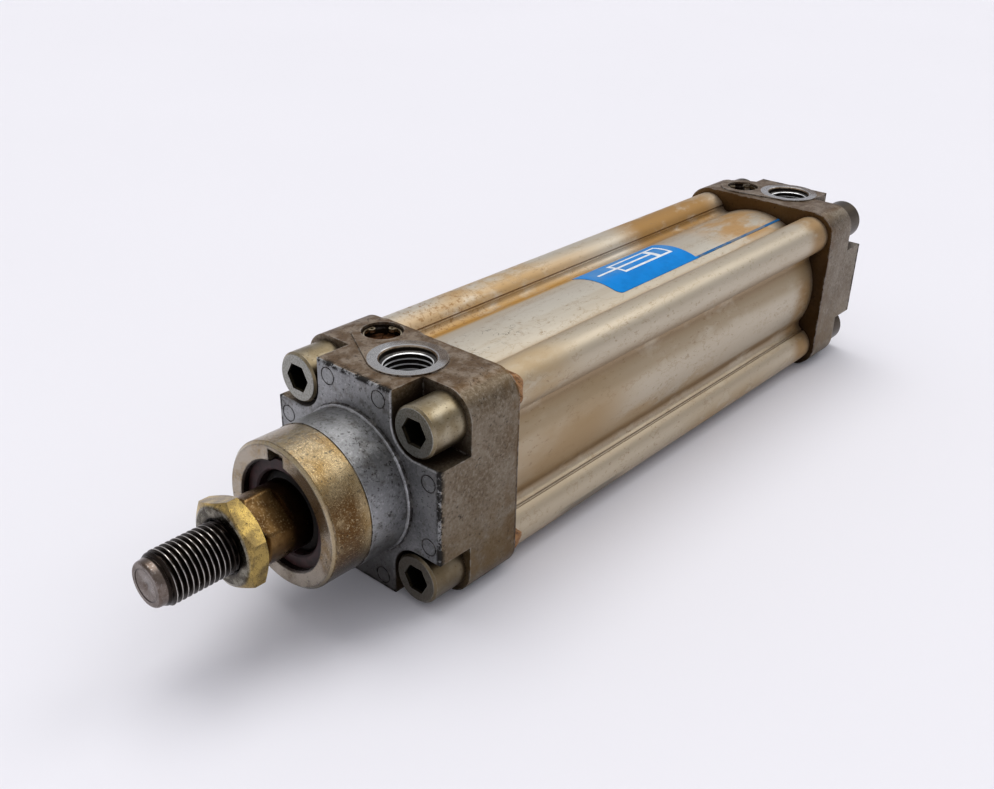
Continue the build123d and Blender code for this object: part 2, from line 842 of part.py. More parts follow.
# ---------------------------------------------------------------- label
# Printed foil on the barrel's top, with a thin stripe running on to the end cap.
with BuildPart() as name_label:
    with BuildSketch(across(barrel_rear_x)):
        Circle(tube_r + label_t)
        Circle(tube_r, mode=Mode.SUBTRACT)
    extrude(amount=barrel_len)
    label_middle = ((label_front_x + label_rear_x) / 2, (label_near_y + label_far_y) / 2)
    stripe_middle = ((label_rear_x + barrel_rear_x) / 2, label_near_y - stripe_w / 2)
    with BuildSketch(Plane.XY.offset(tube_r / 2)) as plan:
        with Locations(label_middle):
            Rectangle(label_front_x - label_rear_x, label_near_y - label_far_y)
        near_corner = plan.vertices().sort_by(Axis.X)[-2:].sort_by(Axis.Y)[-1]
        fillet(near_corner, label_corner_r)
        with Locations(stripe_middle):
            Rectangle(label_rear_x - barrel_rear_x, stripe_w)
    extrude(amount=tube_r, mode=Mode.INTERSECT)
name_label.part.label = "name_label"
export_step(name_label.part, "parts/name_label.step")
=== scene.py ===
import json
import math

import bpy
from mathutils import Matrix, Vector, noise


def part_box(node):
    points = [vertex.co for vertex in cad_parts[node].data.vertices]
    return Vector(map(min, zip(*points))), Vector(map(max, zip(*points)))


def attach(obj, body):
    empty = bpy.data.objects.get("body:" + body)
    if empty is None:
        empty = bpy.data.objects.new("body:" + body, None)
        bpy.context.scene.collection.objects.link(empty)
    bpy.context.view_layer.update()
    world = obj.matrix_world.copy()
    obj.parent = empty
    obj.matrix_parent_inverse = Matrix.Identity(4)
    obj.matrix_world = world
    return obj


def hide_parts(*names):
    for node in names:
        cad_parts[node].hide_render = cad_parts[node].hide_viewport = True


MM = 0.001
CREASE = math.radians(32)  # faces that meet at a sharper angle than this keep a hard edge

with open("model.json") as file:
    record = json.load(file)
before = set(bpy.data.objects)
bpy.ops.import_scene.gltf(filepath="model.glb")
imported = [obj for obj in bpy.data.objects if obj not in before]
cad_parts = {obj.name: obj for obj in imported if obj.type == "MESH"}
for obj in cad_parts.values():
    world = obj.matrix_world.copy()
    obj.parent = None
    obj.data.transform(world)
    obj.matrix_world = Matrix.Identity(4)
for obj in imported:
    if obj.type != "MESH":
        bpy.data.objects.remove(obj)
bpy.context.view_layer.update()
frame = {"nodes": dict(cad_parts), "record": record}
nodes = frame["nodes"]
mounts = {m["name"]: m for m in frame["record"]["mounts"]}

# ------------------------------------------------------------------ places, from the frame
# In mm along the rod's axis (X), across it (Y) and up (Z). Only floor_z is in metres.
front_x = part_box("front_cap_screws")[1].x / MM
rear_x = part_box("rear_cap_screws")[0].x / MM
barrel_rear_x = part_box("barrel")[0].x / MM
barrel_front_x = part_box("barrel")[1].x / MM
collar_tip_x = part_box("bearing_cap")[1].x / MM
pad_top_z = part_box("bearing_cap")[1].z / MM
floor_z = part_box("bearing_cap")[0].z
rod_tip_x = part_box("piston_rod")[1].x / MM
rod_rear_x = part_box("piston_rod")[0].x / MM
rod_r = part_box("piston_rod")[1].y / MM
nut_front_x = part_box("rod_nut")[1].x / MM
piston_front_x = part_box("front_piston_half")[1].x / MM
label_front_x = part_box("name_label")[1].x / MM
label_top_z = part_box("name_label")[1].z / MM
label_len = 39.8
label_rear_x = label_front_x - label_len
thread_r = mounts["rod_thread"]["dims"]["r_mm"]
port_r = mounts["front_port"]["dims"]["r_mm"]
port_minor_r = 5.72
head_thread_r = mounts["front_bolts"]["dims"]["hole_r_mm"]
screw_pitch_half = mounts["front_bolts"]["dims"]["spacing_x_mm"] / 2
block_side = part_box("bearing_cap")[1].y / MM
bearing_cap_len = front_x - barrel_front_x
end_cap_len = barrel_rear_x - rear_x

# the collar's turned front, and on the rod the start of the wrench flats and of the thread
turned_len = 10.7
turned_x = collar_tip_x - turned_len
flats_x, shoulder_x = 24.0, 31.0

# centres in plan of the air ports and of the cushion screws' recesses, front then rear
port_places = [tuple(c / MM for c in mounts[m]["pos_m"][:2]) for m in ("front_port", "rear_port")]
recess_places = []
for clip in ("front_cushion_clip", "rear_cushion_clip"):
    low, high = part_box(clip)
    recess_places.append(((low.x + high.x) / 2 / MM, (low.y + high.y) / 2 / MM))


# ------------------------------------------------------------------ material building
class Paint:
    """A node material built from a few plain operations. Places and sizes are in mm."""

    def __init__(self, name, metallic, specular=0.5):
        self.material = bpy.data.materials.new(name)
        self.material.use_nodes = True
        self.tree = self.material.node_tree
        self.shader = self.tree.nodes["Principled BSDF"]
        self.shader.inputs["Metallic"].default_value = metallic
        self.shader.inputs["Specular IOR Level"].default_value = specular
        coordinates = self.tree.nodes.new("ShaderNodeTexCoord").outputs["Object"]
        self.place = self.vector("SCALE", coordinates, scale=1 / MM)
        self.axes = self.tree.nodes.new("ShaderNodeSeparateXYZ")
        self.tree.links.new(self.place, self.axes.inputs[0])
        self.x, self.y, self.z = self.axes.outputs
        self.normal = None

    def put(self, value, socket):
        """Links an output to a socket, or sets a plain number or colour on it."""
        if isinstance(value, bpy.types.NodeSocket):
            self.tree.links.new(value, socket)
        elif isinstance(value, tuple) and len(value) == 3 and len(socket.default_value) == 4:
            socket.default_value = (*value, 1.0)
        else:
            socket.default_value = value

    def vector(self, operation, a, b=None, scale=None):
        """One vector operation; the result of a length or a dot product is a plain number."""
        node = self.tree.nodes.new("ShaderNodeVectorMath")
        node.operation = operation
        self.put(a, node.inputs[0])
        if b is not None:
            self.put(b, node.inputs[1])
        if scale is not None:
            node.inputs["Scale"].default_value = scale
        return node.outputs["Value" if operation in ("LENGTH", "DOT_PRODUCT") else "Vector"]

    def math(self, operation, a, b=None):
        node = self.tree.nodes.new("ShaderNodeMath")
        node.operation = operation
        self.put(a, node.inputs[0])
        if b is not None:
            self.put(b, node.inputs[1])
        return node.outputs[0]

    def both(self, a, b):
        """Where two masks overlap. It also scales a mask, or any number, by a factor."""
        return self.math("MULTIPLY", a, b)

    def either(self, a, b):
        return self.math("MAXIMUM", a, b)

    def flip(self, a):
        return self.math("SUBTRACT", 1.0, a)

    def step(self, value, low, high):
        """0 below low and 1 above high, smoothly. The other way round if low is over high."""
        node = self.tree.nodes.new("ShaderNodeMapRange")
        node.interpolation_type = "SMOOTHSTEP"
        self.put(value, node.inputs["Value"])
        node.inputs["From Min"].default_value = min(low, high)
        node.inputs["From Max"].default_value = max(low, high)
        node.inputs["To Min"].default_value = 0.0 if low < high else 1.0
        node.inputs["To Max"].default_value = 1.0 if low < high else 0.0
        return node.outputs["Result"]

    def between(self, value, low, high, soft):
        """1 between low and high and 0 outside, with a soft edge that wide on each side."""
        rise = self.step(value, low - soft, low + soft)
        fall = self.step(value, high + soft, high - soft)
        return self.both(rise, fall)

    def noise(self, size, detail=4.0, rough=0.55, stretch=(1, 1, 1), shift=0.0):
        """Cloudy noise with features of about size mm, longer along an axis by stretch."""
        factors = tuple(1 / (size * s) for s in stretch)
        scaled = self.vector("MULTIPLY", self.place, factors)
        moved = self.vector("ADD", scaled, (shift, shift * 1.7, shift * 0.6))
        node = self.tree.nodes.new("ShaderNodeTexNoise")
        self.tree.links.new(moved, node.inputs["Vector"])
        node.inputs["Scale"].default_value = 1.0
        node.inputs["Detail"].default_value = detail
        node.inputs["Roughness"].default_value = rough
        return node.outputs["Fac"]

    def mix(self, amount, a, b):
        """Colour a where amount is 0 and colour b where it is 1."""
        node = self.tree.nodes.new("ShaderNodeMix")
        node.data_type = "RGBA"
        colours = [s for s in node.inputs if s.type == "RGBA"]
        self.put(amount, node.inputs["Factor"])
        self.put(a, colours[0])
        self.put(b, colours[1])
        return next(s for s in node.outputs if s.type == "RGBA")

    def tint(self, colour, mask, strength, other):
        """A colour turned into another by so much where the mask is 1."""
        return self.mix(self.both(mask, strength), colour, other)

    def blend(self, amount, a, b):
        """A number between a and b."""
        node = self.tree.nodes.new("ShaderNodeMapRange")
        self.put(amount, node.inputs["Value"])
        self.put(a, node.inputs["To Min"])
        self.put(b, node.inputs["To Max"])
        return node.outputs["Result"]

    def region(self, x_range, x_soft, turn_range, turn_soft):
        """1 between two stations and between two angles round the rod, softly."""
        along = self.between(self.x, *x_range, x_soft)
        return self.both(along, self.between(self.turn, *turn_range, turn_soft))

    def add_turn(self):
        """Angle round the rod's axis in degrees, from +Y towards +Z."""
        self.turn = self.math("MULTIPLY", self.math("ARCTAN2", self.z, self.y), 180 / math.pi)

    def normal_z(self):
        """How far the surface faces up, from -1 to 1, in the piece's own space."""
        split = self.tree.nodes.new("ShaderNodeSeparateXYZ")
        facing = self.tree.nodes.new("ShaderNodeTexCoord").outputs["Normal"]
        self.tree.links.new(facing, split.inputs[0])
        return split.outputs["Z"]

    def off_axis(self):
        """Distance from the rod's axis."""
        squares = self.math("ADD", self.both(self.y, self.y), self.both(self.z, self.z))
        return self.math("SQRT", squares)

    def away_from(self, x, y):
        """Distance in plan from a vertical line."""
        moved = self.vector("SUBTRACT", self.place, (x, y, 0.0))
        flat = self.vector("MULTIPLY", moved, (1.0, 1.0, 0.0))
        return self.vector("LENGTH", flat)

    def nearest(self, places):
        """Distance in plan from the nearer of two vertical lines."""
        return self.math("MINIMUM", self.away_from(*places[0]), self.away_from(*places[1]))

    def crevice(self, reach):
        """1 in the open, falling to 0 in corners and under overhangs."""
        node = self.tree.nodes.new("ShaderNodeAmbientOcclusion")
        node.samples = 8
        node.inputs["Distance"].default_value = reach * MM
        return node.outputs["AO"]

    def edge(self, radius):
        """1 on edges that a bevel of this radius would round, and 0 on flat ground."""
        rounded = self.tree.nodes.new("ShaderNodeBevel")
        rounded.samples = 6
        rounded.inputs["Radius"].default_value = radius * MM
        true = self.tree.nodes.new("ShaderNodeNewGeometry").outputs["Normal"]
        turn = self.vector("DOT_PRODUCT", rounded.outputs["Normal"], true)
        return self.step(self.flip(turn), 0.02, 0.16)

    def bump(self, height, strength, depth):
        """Adds relief of about depth mm."""
        node = self.tree.nodes.new("ShaderNodeBump")
        node.inputs["Strength"].default_value = strength
        node.inputs["Distance"].default_value = depth * MM
        self.put(height, node.inputs["Height"])
        if self.normal is not None:
            self.tree.links.new(self.normal, node.inputs["Normal"])
        self.normal = node.outputs["Normal"]
        self.tree.links.new(self.normal, self.shader.inputs["Normal"])

    def done(self, colour, roughness):
        self.put(colour, self.shader.inputs["Base Color"])
        self.put(roughness, self.shader.inputs["Roughness"])
        return self.material


# ------------------------------------------------------------------ materials
def oil_film(p, depth, length, cloud, patch, fine):
    """Brown oil on a cap: more golden low down and on the flat top, browner by the barrel, with painted
    shade on its face against the barrel.
    """
    film = p.mix(p.step(cloud, 0.35, 0.65), (0.190, 0.155, 0.112), (0.130, 0.096, 0.060))
    film = p.tint(film, p.step(patch, 0.54, 0.70), 0.6, (0.095, 0.056, 0.025))
    film = p.tint(film, p.step(fine, 0.48, 0.66), 0.6, (0.270, 0.235, 0.185))
    film = p.tint(film, p.step(fine, 0.46, 0.34), 0.65, (0.060, 0.042, 0.026))
    low = p.both(p.step(p.z, 4.0, -22.0), p.step(patch, 0.30, 0.56))
    film = p.tint(film, low, 0.8, (0.130, 0.082, 0.030))
    border = p.both(p.step(depth, length - 6.0, length - 0.5), p.step(patch, 0.40, 0.60))
    film = p.tint(film, border, 0.7, (0.105, 0.060, 0.022))
    top_film = p.mix(p.step(patch, 0.36, 0.60), (0.260, 0.205, 0.150), (0.120, 0.072, 0.034))
    top_film = p.tint(top_film, p.step(fine, 0.46, 0.36), 0.8, (0.050, 0.028, 0.014))
    film = p.mix(p.step(p.z, block_side - 0.9, block_side - 0.3), film, top_film)
    # painted shade on the face against the barrel, darker low down
    inner = p.step(depth, length - 0.9, length - 0.2)
    near_wall_shade = p.mix(p.step(p.z, 6.0, 22.0), (0.050, 0.026, 0.009), (0.115, 0.062, 0.020))
    return p.tint(film, inner, 0.92, near_wall_shade)


def bare_casting(p, cloud, patch, fine):
    """Clean grey casting with dark specks, darker towards the bottom."""
    bare = p.mix(p.step(cloud, 0.35, 0.65), (0.300, 0.303, 0.308), (0.200, 0.202, 0.206))
    bare = p.tint(bare, p.step(patch, 0.50, 0.66), 0.75, (0.120, 0.112, 0.102))
    bare = p.tint(bare, p.step(fine, 0.50, 0.66), 0.55, (0.40, 0.40, 0.40))
    dots = p.step(p.noise(0.9, detail=6, rough=0.75, shift=41), 0.57, 0.62)
    bare = p.tint(bare, dots, 0.85, (0.030, 0.027, 0.024))
    return p.tint(bare, p.step(p.z, -6.0, -24.0), 0.7, (0.060, 0.052, 0.044))


def port_ring(p, port_x, patch, film):
    """Mask and colour of the machined ring round a port, filmed over on its rear side."""
    ring_r, countersink_r = 9.25, 7.1
    off_port = p.nearest(port_places)
    on_pad = p.step(p.z, pad_top_z - 0.25, pad_top_z - 0.07)
    turned = p.both(p.step(off_port, ring_r + 0.1, ring_r - 0.1), on_pad)
    colour = p.mix(p.noise(0.5, detail=3, shift=4), (0.32, 0.315, 0.31), (0.54, 0.54, 0.54))
    behind = p.math("ADD", p.math("SUBTRACT", port_x - 4.0, p.x), p.both(patch, 6.0))
    colour = p.tint(colour, p.step(behind, 0.0, 5.0), 0.85, film)
    inner_edge = p.step(off_port, countersink_r + 0.1, countersink_r - 0.1)
    return turned, p.tint(colour, inner_edge, 0.7, (0.55, 0.56, 0.57))


def oily_shaded_hollows(p):
    """Mask of the insides of the ports and of the cushion screws' recesses."""
    recess_r = 5.4
    below_port = p.step(p.z, block_side - 0.15, block_side - 0.4)
    in_port = p.both(p.step(p.nearest(port_places), port_r + 0.22, port_r + 0.07), below_port)
    below_recess = p.step(p.z, block_side - 0.1, block_side - 0.6)
    off_recess = p.nearest(recess_places)
    in_recess = p.both(p.step(off_recess, recess_r + 0.2, recess_r + 0.05), below_recess)
    return p.either(in_port, in_recess)


def edge_marks(p, depth, patch):
    """Masks of the black crust on the end face's outline and of all edges worn bare, which also carry a
    painted edge highlight.
    """
    edge = p.edge(1.0)
    widest = p.math("MAXIMUM", p.math("ABSOLUTE", p.y), p.math("ABSOLUTE", p.z))
    outline = p.both(p.step(widest, block_side - 1.3, block_side - 0.5), p.step(depth, 2.2, 0.6))
    rim = p.either(outline, p.both(edge, p.step(depth, 2.0, 0.6)))
    ragged = p.math("ADD", p.noise(3.2, detail=8, rough=0.8, shift=15), p.both(patch, 0.3))
    crust = p.both(rim, p.step(ragged, 0.60, 0.68))
    # edges lightened: worn bare, and a painted edge highlight
    wear_and_edge_highlight = p.both(edge, p.step(p.noise(2.2, detail=6, rough=0.7, shift=21), 0.46, 0.58))
    return crust, wear_and_edge_highlight


def casting_material(name, face_x, length, inward, has_collar):
    """Die-cast cap: brown film on the block, bare grey face, machined ring round the port.

    Depth is measured from the end face at face_x, along inward, over the cap's length.
    """
    p = Paint(name, metallic=0.9)
    cloud = p.noise(11, detail=6, rough=0.6)
    patch = p.noise(4, detail=6, rough=0.65, shift=11)
    fine = p.noise(0.8, detail=5, rough=0.7, shift=3)
    grain = p.noise(0.3, detail=3, shift=7)
    depth = p.both(p.math("SUBTRACT", p.x, face_x), float(inward))

    film = oil_film(p, depth, length, cloud, patch, fine)
    machined, relief = p.step(depth, 0.75, 0.35), grain
    colour = p.mix(machined, film, bare_casting(p, cloud, patch, fine))
    if has_collar:
        colour, machined, relief = collar_paint(p, colour, fine, patch, grain)
    turned, ring = port_ring(p, port_places[0 if has_collar else 1][0], patch, film)
    colour = p.mix(turned, colour, ring)
    # insides of ports and recesses painted near black: oil and painted shade
    colour = p.tint(colour, oily_shaded_hollows(p), 0.96, (0.014, 0.009, 0.006))

    # pits, grime and painted shade in corners, then edges worn bare with a painted highlight, and crust
    # on the edges
    pits = p.step(p.noise(1.2, detail=6, rough=0.8, shift=19), 0.59, 0.63)
    pits = p.both(pits, p.step(p.noise(7, shift=9), 0.44, 0.56))
    colour = p.tint(colour, pits, 0.9, (0.016, 0.012, 0.009))
    # grime and painted shade where the occlusion node finds corners
    dirt_and_shade = p.step(p.math("ADD", p.crevice(5.0), p.both(fine, 0.30)), 0.98, 0.42)
    colour = p.tint(colour, dirt_and_shade, 0.93, (0.022, 0.011, 0.005))
    crust, wear_and_edge_highlight = edge_marks(p, depth, patch)
    # edges lightened: worn bare, and a painted edge highlight
    colour = p.tint(colour, wear_and_edge_highlight, 0.65, (0.36, 0.34, 0.31))
    colour = p.tint(colour, crust, 0.95, (0.010, 0.008, 0.006))
    # painted shade on faces turned down
    under = p.step(p.normal_z(), -0.2, -0.9)
    colour = p.tint(colour, under, 0.6, (0.030, 0.022, 0.015))

    p.bump(relief, 0.45, 0.07)
    p.bump(fine, 0.35, 0.14)
    rough = p.blend(cloud, 0.36, 0.50)
    rough = p.blend(p.either(turned, machined), rough, 0.26)
    return p.done(colour, p.math("ADD", rough, p.both(p.either(dirt_and_shade, crust), 0.25)))


def collar_paint(p, block, fine, patch, grain):
    """The bearing cap's collar: bare cast root, then a turned front stained golden brown."""
    ring_groove_r, chamfer_r, bore_r = 18.0, 16.8, 13.4
    p.add_turn()
    radius = p.off_axis()

    # golden brown: darker amber on the +Y side, greyer over the top, finely speckled, with painted shade
    # low down
    around = p.noise(7, detail=5, rough=0.6, stretch=(0.8, 1, 1), shift=5)
    gold = p.mix(p.step(around, 0.36, 0.62), (0.250, 0.160, 0.060), (0.340, 0.260, 0.145))
    amber_x = (collar_tip_x - 8.5, collar_tip_x - 0.2)
    amber = p.both(p.region(amber_x, 2.0, (-40, 34), 12), p.step(around, 0.85, 0.52))
    gold = p.tint(gold, amber, 0.92, (0.090, 0.040, 0.008))
    greyer = p.both(p.step(p.turn, 60, 100), p.step(fine, 0.40, 0.60))
    gold = p.tint(gold, greyer, 0.6, (0.300, 0.285, 0.260))
    gold = p.tint(gold, p.step(fine, 0.56, 0.68), 0.6, (0.46, 0.37, 0.23))
    # painted shade low down on the collar
    gold = p.tint(gold, p.step(p.z, -2.0, -13.0), 0.85, (0.062, 0.046, 0.030))
    tiny = p.noise(0.35, detail=4, rough=0.7, shift=51)
    gold = p.tint(gold, p.step(tiny, 0.58, 0.66), 0.8, (0.62, 0.49, 0.28))
    gold = p.tint(gold, p.step(tiny, 0.42, 0.36), 0.85, (0.035, 0.018, 0.006))
    on_nose = p.step(p.x, turned_x - 0.1, turned_x + 0.1)
    colour = p.mix(on_nose, block, gold)

    # dark specks, and pale lines at the turned step and round the collar's root: bare metal with a
    # painted edge highlight
    specks = p.step(p.noise(1.0, detail=6, rough=0.75, shift=43), 0.58, 0.63)
    specks = p.both(p.both(specks, p.step(patch, 0.40, 0.58)), p.step(p.x, 0.5, 1.5))
    colour = p.tint(colour, specks, 0.9, (0.040, 0.034, 0.030))
    worn = p.step(p.noise(2.5, detail=5, shift=13), 0.38, 0.55)
    step_line = p.between(p.x, turned_x - 0.22, turned_x - 0.05, 0.08)
    ring_line = p.between(radius, ring_groove_r, ring_groove_r + 0.15, 0.1)
    ring_line = p.both(ring_line, p.step(p.x, 0.45, 0.65))
    lines = p.both(p.either(step_line, ring_line), worn)
    colour = p.tint(colour, lines, 0.75, (0.52, 0.53, 0.54))

    # paler front ring face and its rubbed edge, black bore
    at_tip = p.step(p.x, collar_tip_x - 0.3, collar_tip_x - 0.1)
    ring_face = p.both(at_tip, p.step(around, 0.30, 0.60))
    colour = p.tint(colour, ring_face, 0.75, (0.400, 0.350, 0.290))
    near_tip = p.step(p.x, collar_tip_x - 1.0, collar_tip_x - 0.7)
    front_edge = p.both(p.between(radius, chamfer_r, chamfer_r + 0.5, 0.15), near_tip)
    colour = p.tint(colour, front_edge, 0.5, (0.50, 0.42, 0.28))
    # the bore painted black: oil and painted shade inside it
    in_bore = p.both(p.step(radius, bore_r + 0.2, bore_r - 0.2), p.step(p.x, -2.0, -1.0))
    colour = p.tint(colour, in_bore, 0.96, (0.018, 0.009, 0.005))
    lathe = p.noise(0.14, detail=2, stretch=(1, 90, 90), shift=2)
    machined = p.either(on_nose, p.both(p.step(p.x, -0.5, 0.2), 0.3))
    return colour, machined, p.blend(on_nose, grain, lathe)


def barrel_stains(p, colour, broad, streak, edge_noise):
    """Oil stains by place, and a mask of all of them."""
    # Each stain: stations along the barrel and how soft its ends are, angles round it and how
    # soft those are, colour, strength and outline. The scratched one is grey.
    front, rear = barrel_front_x, barrel_rear_x
    ragged = p.step(edge_noise, 0.30, 0.60)
    solid = p.step(edge_noise, 0.20, 0.52)
    cloudy = p.step(broad, 0.1, 0.6)
    scratched = p.step(streak, 0.46, 0.56)
    stains = (
        ((-106, front), 16, (110, 123), 4, (0.46, 0.260, 0.065), 1.00, solid),
        ((rear, front), 4, (55, 63), 3, (0.32, 0.215, 0.110), 0.80, solid),
        ((rear, front), 4, (23, 34), 4, (0.33, 0.225, 0.120), 0.80, solid),
        ((rear, front), 4, (-31, -22), 3, (0.24, 0.145, 0.060), 0.90, solid),
        ((-72, front), 14, (-27, 27), 4, (0.37, 0.245, 0.110), 0.80, cloudy),
        ((-118, -70), 14, (-27, -10), 5, (0.40, 0.275, 0.135), 0.75, ragged),
        ((-84, -48), 8, (122, 146), 5, (0.42, 0.250, 0.080), 0.90, ragged),
        ((-178, -126), 9, (116, 148), 6, (0.35, 0.200, 0.065), 1.00, solid),
        ((rear, -148), 9, (64, 114), 6, (0.42, 0.240, 0.080), 0.90, ragged),
        ((-46, front), 10, (32, 56), 5, (0.42, 0.300, 0.155), 0.75, ragged),
        ((-70, front), 14, (-62, -43), 4, (0.33, 0.205, 0.080), 0.85, ragged),
        ((-72, -46), 5, (-47, -38), 2, (0.16, 0.150, 0.130), 0.80, scratched),
        ((-150, -104), 10, (-58, -36), 5, (0.38, 0.250, 0.110), 0.65, ragged),
        ((rear, -171), 4, (-62, 62), 8, (0.32, 0.190, 0.070), 0.85, solid),
        ((rear, front), 4, (12, 27), 5, (0.36, 0.275, 0.165), 0.65, solid),
    )
    stained = 0.0
    for x_range, x_soft, turn_range, turn_soft, tint, strength, outline in stains:
        zone = p.both(p.region(x_range, x_soft, turn_range, turn_soft), outline)
        colour = p.tint(colour, zone, strength, tint)
        stained = p.either(zone, stained)
    return colour, stained


def barrel_marks(p, colour, broad, streak, edge_noise):
    """Small marks: speckle and scribbles near the front, tide marks and flecks all over."""
    # brown speckle and dark scribbles behind the front joint
    speckle = p.both(p.region((-56, -34), 12, (75, 92), 8), p.step(edge_noise, 0.42, 0.58))
    speckle = p.either(speckle, p.region((-60, -30), 10, (116, 140), 4))
    dots = p.step(p.noise(1.5, detail=6, rough=0.8, shift=31), 0.53, 0.59)
    colour = p.tint(colour, p.both(speckle, dots), 0.8, (0.27, 0.150, 0.055))
    scribble = p.between(p.noise(3.0, detail=3, stretch=(1.5, 1, 1), shift=37), 0.490, 0.510, 0.008)
    scribble = p.both(scribble, p.step(p.noise(4.0, detail=2, shift=61), 0.50, 0.58))
    marked = p.both(p.region((-52, -30), 5, (74, 96), 5), scribble)
    colour = p.tint(colour, marked, 0.9, (0.06, 0.040, 0.025))

    # dried tide marks round the stains and small flecks all over
    tide = p.both(p.between(edge_noise, 0.462, 0.474, 0.012), p.step(streak, 0.40, 0.58))
    colour = p.tint(colour, tide, 0.45, (0.27, 0.165, 0.070))
    flecks = p.step(p.noise(1.1, detail=7, rough=0.8, stretch=(2, 1, 1), shift=71), 0.575, 0.620)
    flecks = p.both(flecks, p.step(broad, 0.66, 0.44))
    return p.tint(colour, flecks, 0.6, (0.25, 0.165, 0.085))


def barrel_material():
    """Champagne anodised extrusion: brown oil with painted shade in the grooves, and stains on the
    lobes.
    """
    p = Paint("barrel_anodised", metallic=0.8)
    p.add_turn()
    streak = p.noise(2.6, detail=4, rough=0.5, stretch=(30, 1, 1))
    broad = p.noise(14, detail=4, stretch=(2.4, 1, 1), shift=6)
    edge_noise = p.noise(6, detail=6, rough=0.62, stretch=(2, 1, 1), shift=17)
    fine = p.noise(0.7, detail=5, rough=0.7, shift=3)
    draw = p.noise(0.25, detail=2, stretch=(160, 1, 1), shift=8)
    colour = p.mix(p.step(broad, 0.3, 0.7), (0.575, 0.535, 0.455), (0.515, 0.465, 0.380))
    colour = p.tint(colour, p.step(streak, 0.42, 0.66), 0.35, (0.45, 0.37, 0.26))

    # the side that faces +Y is browner, most of all low down
    sides = p.between(p.turn, -64, 64, 6)
    colour = p.tint(colour, sides, 0.75, (0.475, 0.405, 0.300))
    colour = p.tint(colour, p.both(sides, p.step(p.turn, -20, -50)), 0.5, (0.42, 0.33, 0.205))

    colour, stained = barrel_stains(p, colour, broad, streak, edge_noise)
    colour = barrel_marks(p, colour, broad, streak, edge_noise)

    # oil with painted shade in the grooves, painted shade under the barrel, and fine drawing lines along
    # it
    dirt_and_shade = p.step(p.math("ADD", p.crevice(5.0), p.both(fine, 0.25)), 0.95, 0.42)
    colour = p.tint(colour, dirt_and_shade, 0.85, (0.10, 0.048, 0.016))
    # painted shade on faces turned down
    under = p.step(p.normal_z(), -0.1, -0.9)
    colour = p.tint(colour, under, 0.5, (0.22, 0.160, 0.095))
    p.bump(draw, 0.12, 0.015)
    p.bump(fine, 0.06, 0.04)
    rough = p.blend(broad, 0.38, 0.46)
    return p.done(colour, p.math("ADD", rough, p.both(p.either(stained, dirt_and_shade), 0.16)))


def zinc_material():
    """Cap screws: dull yellow-grey zinc, black in the sockets as grime and painted shade, much browner
    at the rear.
    """
    p = Paint("zinc_screw", metallic=1.0)
    cloud = p.noise(5, detail=5)
    fine = p.noise(0.5, detail=4, shift=2)
    colour = p.mix(p.step(cloud, 0.35, 0.65), (0.330, 0.285, 0.200), (0.215, 0.170, 0.100))

    # paler end faces; depth is measured in from the nearer end of the cylinder
    from_front, from_rear = p.math("SUBTRACT", front_x, p.x), p.math("SUBTRACT", p.x, rear_x)
    depth = p.math("MINIMUM", from_front, from_rear)
    pale = p.mix(p.step(fine, 0.40, 0.60), (0.23, 0.225, 0.20), (0.36, 0.36, 0.33))
    colour = p.mix(p.step(depth, 0.15, 0.05), colour, pale)

    # browner low down as painted shade, browner at the rear, grime and painted shade in corners, edges
    # worn bare with a painted highlight
    low = p.either(p.step(p.normal_z(), 0.2, -0.7), p.step(p.z, 2.0, -12.0))
    colour = p.tint(colour, low, 0.65, (0.085, 0.060, 0.032))
    colour = p.tint(colour, p.step(fine, 0.58, 0.7), 0.7, (0.06, 0.04, 0.022))
    rear = p.step(p.x, barrel_rear_x + 10, barrel_rear_x - 2)
    colour = p.tint(colour, rear, 0.9, (0.034, 0.020, 0.009))
    dirt_and_shade = p.step(p.math("ADD", p.crevice(3.0), p.both(fine, 0.2)), 0.85, 0.4)
    colour = p.tint(colour, dirt_and_shade, 0.9, (0.020, 0.013, 0.008))
    wear_and_edge_highlight = p.both(p.edge(0.3), p.step(fine, 0.36, 0.55))
    colour = p.tint(colour, wear_and_edge_highlight, 0.6, (0.50, 0.48, 0.42))

    # sockets painted black: grime and painted shade inside them
    socket_r = 3.9
    off_y = p.math("SUBTRACT", p.math("ABSOLUTE", p.y), screw_pitch_half)
    off_z = p.math("SUBTRACT", p.math("ABSOLUTE", p.z), screw_pitch_half)
    off_screw = p.math("SQRT", p.math("ADD", p.both(off_y, off_y), p.both(off_z, off_z)))
    socket = p.step(off_screw, socket_r + 0.05, socket_r - 0.05)
    socket = p.both(socket, p.step(depth, 0.25, 1.1))
    colour = p.tint(colour, socket, 0.97, (0.004, 0.004, 0.003))
    p.bump(fine, 0.15, 0.04)
    return p.done(colour, p.math("ADD", p.blend(cloud, 0.28, 0.42), p.both(socket, 0.3)))


